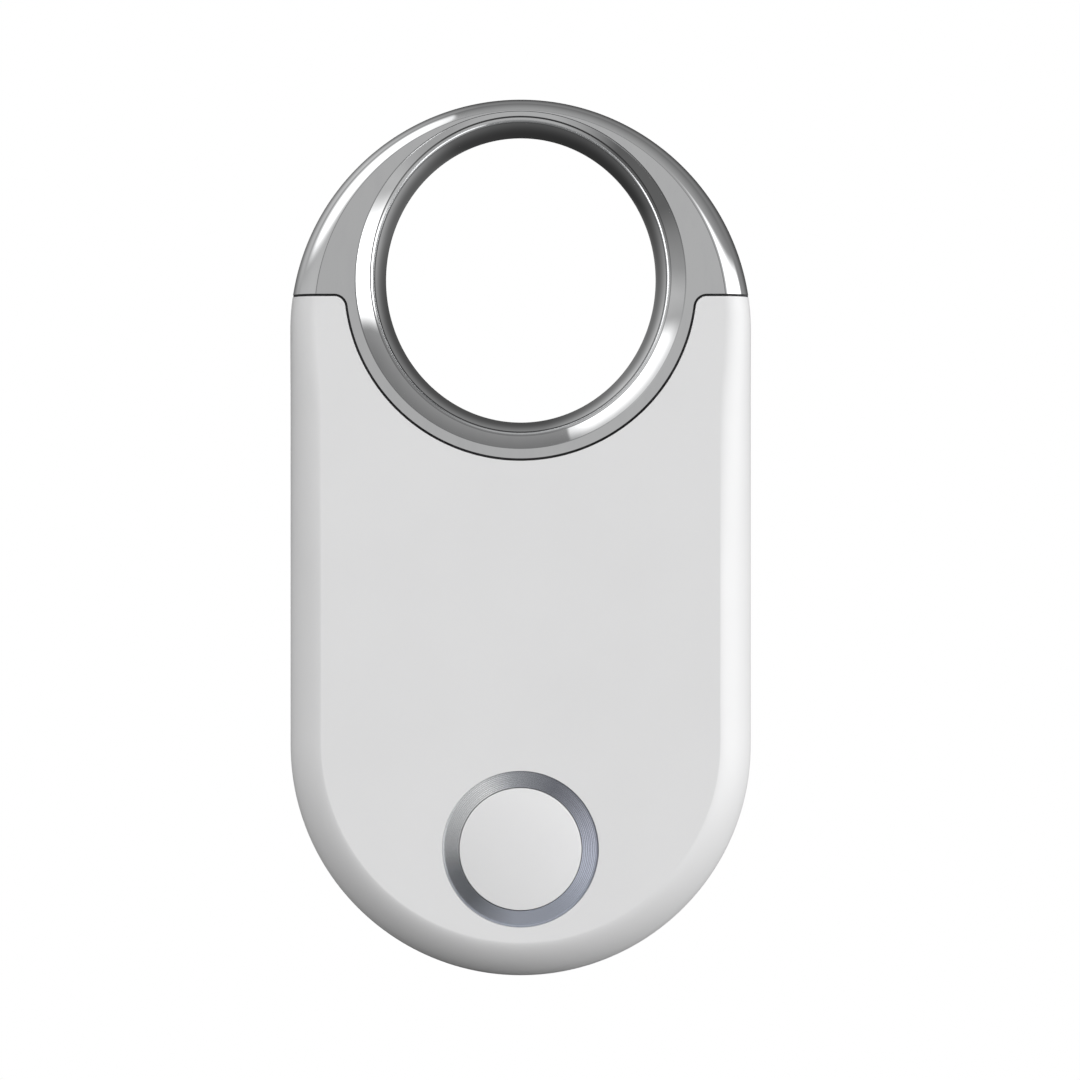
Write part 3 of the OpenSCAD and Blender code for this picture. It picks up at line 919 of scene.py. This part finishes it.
def block(across: Point, along: Point, heights: Point) -> Form:
    """A plain block between two values on each axis."""
    pen = Pen((across[0], along[0])).line((across[1], along[0])).line((across[1], along[1]))
    return pen.line((across[0], along[1])).line((across[0], along[0])).raised(*heights)


# ---------------------------------------------------------------- sub-assemblies


@dataclass
class Tongues:
    """Where the loop's two tongues and their lugs lie, which the case makes room for."""

    outline: TagOutline
    wall: float = 1.2
    face: float = 1.0
    play: float = 0.1
    size: Point = (1.4, 2.2)
    lug_r: float = 1.9
    bore: float = 0.8

    def __post_init__(self) -> None:
        """Work the places out from the seam and the side wall."""
        shape = self.outline
        self.lug_x = shape.half_w - self.wall - 2 * self.play - self.lug_r
        reach = shape.seam_r + shape.gap / 2 + self.face + self.play + self.lug_r
        self.lug_y = shape.seam_y - math.sqrt(reach ** 2 - self.lug_x ** 2)
        above = shape.shoulder_y - shape.gap / 2 - self.face - shape.arc_y
        inner = math.sqrt((shape.half_w - self.wall) ** 2 - max(above, 0) ** 2)
        self.bar_x = inner - self.play - self.size[0] / 2
        middle, half = shape.thick / 2, self.size[1] / 2
        self.heights = (middle - half, middle + half)

    def limbs(self) -> List[Form]:
        """The bars and eyes of both sides.

        Returns:
            Two closed forms for each side.
        """
        made = []
        for side in (-1, 1):
            middle, half = side * self.bar_x, self.size[0] / 2
            made.append(block((middle - half, middle + half),
                              (self.lug_y, self.outline.shoulder_y + 1), self.heights))
            low, high = self.heights
            eye = [(self.bore, low), (self.lug_r, low), (self.lug_r, high), (self.bore, high)]
            made.append(Form.turned(eye, (side * self.lug_x, self.lug_y), 64))
        return made

    def windows(self) -> List[Form]:
        """Cutters for the openings in the case that the tongues pass.

        Returns:
            A closed form for each side.
        """
        low, high = self.heights
        half, top = self.size[0] / 2 + self.play, self.outline.shoulder_y + 1
        return [block((side * self.bar_x - half, side * self.bar_x + half),
                      (top - self.face - 2, top), (low - self.play, high + self.play))
                for side in (-1, 1)]


@dataclass
class Loop:
    """The metal end piece with the key-ring hole."""

    outline: TagOutline
    tongues: Tongues

    def build(self) -> None:
        """Model the loop with the tongues that hold it in the case."""
        shape = self.outline
        ring = shape.half().doubled(shape.thick / 2).combined(
            Cut.SHARED, [shape.loop_side(-shape.gap / 2)])
        Piece("loop_polished", ring.joined(self.tongues.limbs()), MIRROR, "case", "loop",
              "polished_metal", 20).place()
        # a black strip in the seam, standing in for the shade in its gap
        gasket = shape.gasket(shape.gap - 0.005, 0.45, self.tongues.heights[1] + 0.2)
        Piece("seam_shade_strip", gasket, RUBBER, "case", "seam_gasket", "seal_rubber").place()


@dataclass
class Case:
    """The front and rear shells."""

    outline: TagOutline
    tongues: Tongues
    trim_r: float = 5.07
    trim_floor: float = 7.35
    ledge_r: float = 4.35
    well_r: float = 10.3
    seat_r: float = 11.5
    seat_z: float = 0.52
    well_wall: float = 1.2
    well_top: float = 5.18
    notch: Tuple[float, float, float] = (5.0, 1.2, 0.75)   # width, radius, depth

    def build(self, button: Point, cell: Point) -> None:
        """Model both shells.

        Args:
            button: the button's middle.
            cell: the coin cell's middle.
        """
        shape = self.outline
        middle, top = shape.thick / 2, shape.thick
        # the cutters end at different heights, so that none of their faces coincide
        wall, face = self.tongues.wall, self.tongues.face
        seam = shape.loop_side(shape.gap / 2)
        bay = shape.loop_side(shape.gap / 2 + face, -6, 16)
        upper = shape.room(wall, middle - 1, top - face).combined(Cut.AWAY, [bay])
        lower = shape.room(wall, face, middle + 1).combined(Cut.AWAY, [bay])
        windows = self.tongues.windows()
        front = shape.half().combined(Cut.AWAY, [
            seam, upper, *windows, post(button, self.ledge_r, middle, top + 1),
            post(button, self.trim_r, self.trim_floor, top + 1, 192)])
        Piece("front_shell_white", front, WHITE, "case", "front_shell", "shell_plastic").place()
        width, radius, depth = self.notch
        scoop = Form()
        bmesh.ops.create_cone(scoop.bm, cap_ends=True, segments=96, radius1=radius,
                              radius2=radius, depth=width,
                              matrix=Matrix.Translation((0, cell[1] - self.seat_r + 0.2,
                                                         depth - radius))
                              @ Matrix.Rotation(math.pi / 2, 4, "Y"))
        rear = shape.half().flipped(middle).combined(Cut.AWAY, [
            seam, lower, *windows, post(cell, self.seat_r, -1, self.seat_z, 192),
            post(cell, self.well_r, -2, middle + 1, 192), scoop.tidied()])
        well = Form.turned([(self.well_r, self.seat_z), (self.well_r + self.well_wall, self.seat_z),
                            (self.well_r + self.well_wall, self.well_top),
                            (self.well_r, self.well_top)], cell, 192)
        Piece("rear_shell_white", rear.joined([well]), WHITE, "case", "rear_shell",
              "shell_plastic").place()


@dataclass
class Button:
    """The push button and the metal ring round it."""

    centre: Point
    top: float
    cap_r: float = 3.95
    flange: Tuple[float, float, float] = (4.9, 6.58, 6.98)
    hollow_r: float = 3.15
    stem: Point = (0.9, 6.94)
    crown: float = 7.45
    edge_r: float = 0.05
    ring: Point = (4.0, 5.06)                              # radius inside and outside
    ring_z: Tuple[float, float, float] = (7.37, 7.80, 7.67)   # bottom, top inside, top outside
    ring_edge_r: float = 0.025

    def build(self) -> None:
        """Model the cap and its ring."""
        flange_r, low, high = self.flange
        cap = [(0, self.stem[1]), (self.stem[0], self.stem[1]), (self.stem[0], self.crown),
               (self.hollow_r, self.crown), (self.hollow_r, low), (flange_r, low),
               (flange_r, high), (self.cap_r, high), (self.cap_r, self.top), (0, self.top)]
        Piece("button_cap_white", Form.turned(cap, self.centre, 192).softened(self.edge_r),
              CAP_WHITE, "button", "button_cap", "button_plastic").place()
        inner, outer = self.ring
        low, high, fallen = self.ring_z
        ring = Form.turned([(inner, low), (outer, low), (outer, fallen), (inner, high)],
                           self.centre, 192).softened(self.ring_edge_r, 2)
        # painted highlights and dark reflections round the ring, by bearing, which go into the
        # ring's colour
        painted_reflection_tones = ((-180, (0.96, 0.98, 1.0)), (-158, (0.52, 0.54, 0.58)),
                 (-135, (0.38, 0.40, 0.44)), (-95, (0.62, 0.66, 0.76)),
                 (-45, (0.54, 0.58, 0.68)), (0, (0.40, 0.42, 0.50)), (40, (0.31, 0.32, 0.37)),
                 (62, (0.27, 0.28, 0.32)), (95, (0.55, 0.57, 0.61)), (120, (0.98, 0.99, 1.0)),
                 (180, (0.96, 0.98, 1.0)))
        # the ring's material, with its highlights and reflections painted into its colour
        finish = PaintedReflectionRing("turned_ring_painted_reflections", (0.5, 0.5, 0.5), (0.75, 0.78, 0.85), metallic=1.0,
                         roughness=0.25, spread=0.04, grain=Grain.TURNED, pitch=9.0,
                         depth=0.12, centre=self.centre, painted_reflection_tones=painted_reflection_tones)
        Piece("trim_ring_with_painted_reflections", ring, finish, "case", "trim_ring", "brushed_ring", 15).place()


@dataclass
class Door:
    """The round battery door with its groove and pocket."""

    centre: Point
    rim_r: float = 11.4
    rim_t: float = 0.5
    plug: Point = (10.2, 1.48)                             # radius and top
    pocket: Point = (8.5, 0.9)                             # radius and floor
    groove: Tuple[float, float, float] = (9.76, 0.72, 1.26)   # radius, bottom and top
    edge_r: float = 0.06

    def build(self) -> None:
        """Model the door."""
        plug_r, plug_top = self.plug
        pocket_r, floor = self.pocket
        neck, low, high = self.groove
        section = [(0, 0), (self.rim_r, 0), (self.rim_r, self.rim_t), (plug_r, self.rim_t),
                   (plug_r, low), (neck, low), (neck, high), (plug_r, high), (plug_r, plug_top),
                   (pocket_r, plug_top), (pocket_r, floor), (0, floor)]
        door = Form.turned(section, self.centre, 192).softened(self.edge_r, 2)
        Piece("battery_door_white", door, DOOR_WHITE, "door", "battery_door",
              "door_plastic").place()


class Inside:
    """The CAD nodes that stay as they are, each with its finish."""

    FINISHES: Dict[str, Finish] = {
        "loop_screws": SCREW, "board_screws": SCREW, "shell_seal": RUBBER,
        "button_return_pad": SILICONE, "switch_body": PACKAGE, "switch_dome": GOLD,
        "switch_plunger": IVORY, "switch_cover": CAN, "circuit_board": MASK,
        "radio_chip": PACKAGE, "main_crystal": CAN, "clock_crystal": CAN,
        "motion_sensor": PACKAGE, "chip_antenna": CREAM, "boost_inductor": FERRITE,
        "storage_capacitor": TANTALUM, "chip_capacitors": BUFF, "sounder_plate": BRASS,
        "sounder_ceramic": CREAM, "sounder_tape": TAPE, "sounder_contacts": GOLD,
        "negative_contact": GOLD, "positive_contacts": GOLD, "cell_can": STEEL,
        "cell_pellet": FERRITE, "cell_gasket": RUBBER, "cell_cap": STEEL,
        "door_seal": ORANGE, "door_pad": FOAM,
    }

    def dress_all(self) -> None:
        """Give each node its material."""
        for name, finish in self.FINISHES.items():
            dress(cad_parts[name], finish)
            LOG.info("%s: %s", name, finish.name)


# ------------------------------------------------------------------- studio


Levels = Tuple[Tuple[float, float], ...]


@dataclass(frozen=True)
class Wash:
    """A broad light for matt surfaces only, which no polished surface mirrors.

    Args:
        bearing: where it comes from, in degrees from +X, anticlockwise.
        tilt: how far from straight up it is, in degrees.
        power: its strength.
    """

    bearing: float
    tilt: float
    power: float


@dataclass
class Studio:
    """A plain pale floor, a soft surround and the camera."""

    distance: float = 258.7                  # the camera above the face
    lens: float = 133.35
    aside: Point = (1.26, -0.10)             # the camera's place beside the middle
    floor_r: float = 800.0
    dome_r: float = 1500.0
    far_span: Point = (0.05, 0.55)           # y over which the far side darkens
    far_dim: float = 0.5
    low_span: Point = (-0.94, -0.35)         # z over which the lower surround brightens
    low_least: float = 0.35
    horizon: Point = (-0.22, 0.0)
    ring_tilt: Point = (12.0, 10.6)          # a dark ring straight above, in degrees from up
    ring_level: float = 0.20
    patch_tilt: Point = (9.2, 8.0)           # and a pale patch in the middle of it
    patch_level: Point = (0.43, 0.25)        # its brightness, and how fast that rises with x
    side_power: float = 1.8
    side_span: Tuple[float, float, float, float] = (-0.50, -0.10, 0.18, 0.36)
    side_tilt: Point = (78.0, 64.0)
    side_rise: Point = (-0.15, 0.12)
    back_power: float = 1.3
    back_edge: float = 107.0                 # bearing of its sharp edge
    back_lean: Point = (0.30, -0.13)         # how its lower edge rises with x and z
    back_tilt: Point = (98.0, 60.0)
    washes: Tuple[Wash, ...] = (Wash(90, 40, 2.2), Wash(0, 70, 3.1), Wash(180, 70, 1.4),
                                Wash(0, 180, 2.6))
    # brightness of the upper and the lower surround, by bearing in degrees from +X
    upper: Levels = ((-180, .31), (-168, .22), (-158, .12), (-130, .11), (-117, .30),
                     (-104, .43), (-75, .43), (-62, .36), (-50, .36), (-35, .50), (0, .42),
                     (28, .36), (100, .35), (150, .46), (171, .50), (180, .31))
    lower: Levels = ((-180, .28), (-157, .10), (-120, .08), (-90, .09), (-60, .12), (-40, .29),
                     (-8, .36), (24, .20), (100, .22), (132, .55), (160, .45), (180, .28))

    def build(self) -> None:
        """Make the camera, the surround, the washes and the floor."""
        scene = bpy.context.scene
        scene.view_settings.view_transform = "Standard"
        scene.view_settings.look = "None"
        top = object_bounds()[1].z
        camera = bpy.data.objects.new("camera", bpy.data.cameras.new("camera"))
        scene.collection.objects.link(camera)
        camera.data.lens, camera.data.sensor_width = self.lens, 36.0
        camera.location = (self.aside[0] * MM, self.aside[1] * MM, top + self.distance * MM)
        camera.data.clip_start, camera.data.clip_end = 0.01, 5.0
        scene.camera = camera
        self._surround(scene)
        self._floor()
        for wash in self.washes:
            self._wash(wash)

    @staticmethod
    def _wash(wash: Wash) -> None:
        """Hang one of the broad lights.

        Args:
            wash: where it comes from, and its strength.
        """
        lamp = bpy.data.lights.new("wash", "SUN")
        lamp.energy, lamp.angle = wash.power, math.radians(50)
        made = bpy.data.objects.new("wash", lamp)
        bpy.context.scene.collection.objects.link(made)
        bearing, tilt = math.radians(wash.bearing), math.radians(wash.tilt)
        aim = Vector((math.sin(tilt) * math.cos(bearing), math.sin(tilt) * math.sin(bearing),
                      math.cos(tilt)))
        made.rotation_euler = aim.to_track_quat("Z", "Y").to_euler()
        made.visible_glossy = False
        made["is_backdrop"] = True

    def _surround(self, scene: bpy.types.Scene) -> None:
        """Make the soft light round the object, by direction.

        Args:
            scene: the scene that it goes round.
        """
        world = bpy.data.worlds.new("studio")
        scene.world = world
        world.cycles_visibility.diffuse = False     # the washes light what is matt
        world.use_nodes = True
        net = Net(world.node_tree)
        coords = net.node("ShaderNodeTexCoord")
        x, y, z = net.parts(Value(net, coords.outputs["Generated"]))
        share = net.math("ARCTAN2", y, x) / (2 * math.pi) + 0.5
        above = self._levels(net, share, self.upper)
        above = above * (1 - y.eased(*self.far_span) * (1 - z) * self.far_dim)
        low = z.eased(*self.low_span) * (1 - self.low_least) + self.low_least
        below = self._levels(net, share, self.lower) * low
        horizon = z.eased(*self.horizon)
        light = below * (1 - horizon) + above * horizon
        light = light + self._side_box(x, y, z) * self.side_power
        light = light + self._back_box(x, y, z) * self.back_power
        ring = self._tilted(z, self.ring_tilt)
        light = light * (1 - ring) + ring * self.ring_level
        patch = self._tilted(z, self.patch_tilt)
        light = light * (1 - patch) + patch * (x * self.patch_level[1] + self.patch_level[0])
        shade = net.node("ShaderNodeBackground", None, {"Color": (1, 1, 1), "Strength": light})
        net.node("ShaderNodeOutputWorld", None, {0: Value(net, shade.outputs[0])})

    @staticmethod
    def _tilted(along: Value, tilts: Point) -> Value:
        """0 at the first of two tilts in degrees from an axis, and 1 from the second on."""
        return along.eased(*(math.cos(math.radians(tilt)) for tilt in tilts))

    @staticmethod
    def _levels(net: Net, share: Value, levels: Levels) -> Value:
        """Brightness by bearing."""
        stops = [((bearing + 180) / 360, (level,) * 3) for bearing, level in levels]
        made = net.node("ShaderNodeValToRGB", {"ramp": stops}, {"Fac": share})
        return net.parts(Value(net, made.outputs[0]))[0]

    def _side_box(self, x: Value, y: Value, z: Value) -> Value:
        """A long soft box that lies along the +X side, from high up to the horizon."""
        band = y.eased(*self.side_span[:2]) * (1 - y.eased(*self.side_span[2:]))
        return band * self._tilted(x, self.side_tilt) * z.eased(*self.side_rise)

    def _back_box(self, x: Value, y: Value, z: Value) -> Value:
        """A tilted soft box behind and to the left, with one sharp edge.

        Args:
            x: the first part of a direction.
            y: the second.
            z: the third.

        Returns:
            Its brightness in that direction, from 0 to 1.
        """
        edge = math.radians(self.back_edge)
        after = y * math.cos(edge) - x * math.sin(edge)
        sharp = after.eased(-0.008, 0.012) * 0.5 + after.eased(0.0, 0.16) * 0.5
        raised = (y + x * self.back_lean[0] + z * self.back_lean[1]).eased(-0.05, 0.14)
        return sharp * raised * self._tilted(z, self.back_tilt)

    def _floor(self) -> None:
        """A pale floor and backdrop that only the camera sees, so that they cast nothing."""
        finish = bpy.data.materials.new("pale_floor")
        finish.use_nodes = True
        net = Net(finish.node_tree)
        glow = net.node("ShaderNodeEmission", None, {"Color": (1, 1, 1), "Strength": 1.0})
        clear = net.node("ShaderNodeBsdfTransparent")
        side = net.node("ShaderNodeNewGeometry")
        seen = net.node("ShaderNodeMixShader", None, {
            0: Value(net, side.outputs["Backfacing"]), 1: Value(net, glow.outputs[0]),
            2: Value(net, clear.outputs[0])})
        net.node("ShaderNodeOutputMaterial", None, {0: Value(net, seen.outputs[0])})
        floor, dome = Form(), Form()
        bmesh.ops.create_circle(floor.bm, cap_ends=True, segments=64, radius=self.floor_r)
        bmesh.ops.translate(floor.bm, vec=(0, 0, -0.05), verts=floor.bm.verts[:])
        bmesh.ops.create_icosphere(dome.bm, subdivisions=4, radius=self.dome_r)
        bmesh.ops.reverse_faces(dome.bm, faces=dome.bm.faces[:])
        for name, form in (("floor", floor), ("backdrop", dome)):
            bmesh.ops.scale(form.bm, vec=(MM, MM, MM), verts=form.bm.verts[:])
            made = form.as_object(name)
            made.data.materials.append(finish)
            made.visible_diffuse = made.visible_glossy = made.visible_shadow = False
            made.visible_transmission = made.visible_volume_scatter = False
            made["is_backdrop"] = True


def corners() -> List[List[float]]:
    """The lowest and highest corner of everything that belongs to the object."""
    return [list(corner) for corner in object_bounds()]


def middle_of(node: str) -> Point:
    """The middle of a CAD node as seen from the front, in millimetres."""
    low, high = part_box(node)
    return ((low.x + high.x) / 2 / MM, (low.y + high.y) / 2 / MM)


def main() -> None:
    """Build the tag's pieces in order, dress them and set the studio up."""
    logging.basicConfig(level=logging.INFO, format="%(message)s")
    cad = corners()
    low, high = (Vector(corner) / MM for corner in cad)
    outline = TagOutline((high.x - low.x) / 2, (high.y - low.y) / 2, high.z - low.z)
    button, cell = middle_of("button_cap"), middle_of("cell_can")
    tongues = Tongues(outline)
    Loop(outline, tongues).build()
    Case(outline, tongues).build(button, cell)
    Button(button, outline.thick).build()
    Door(cell).build()
    Inside().dress_all()
    Studio().build()


if __name__ == "__main__":
    main()
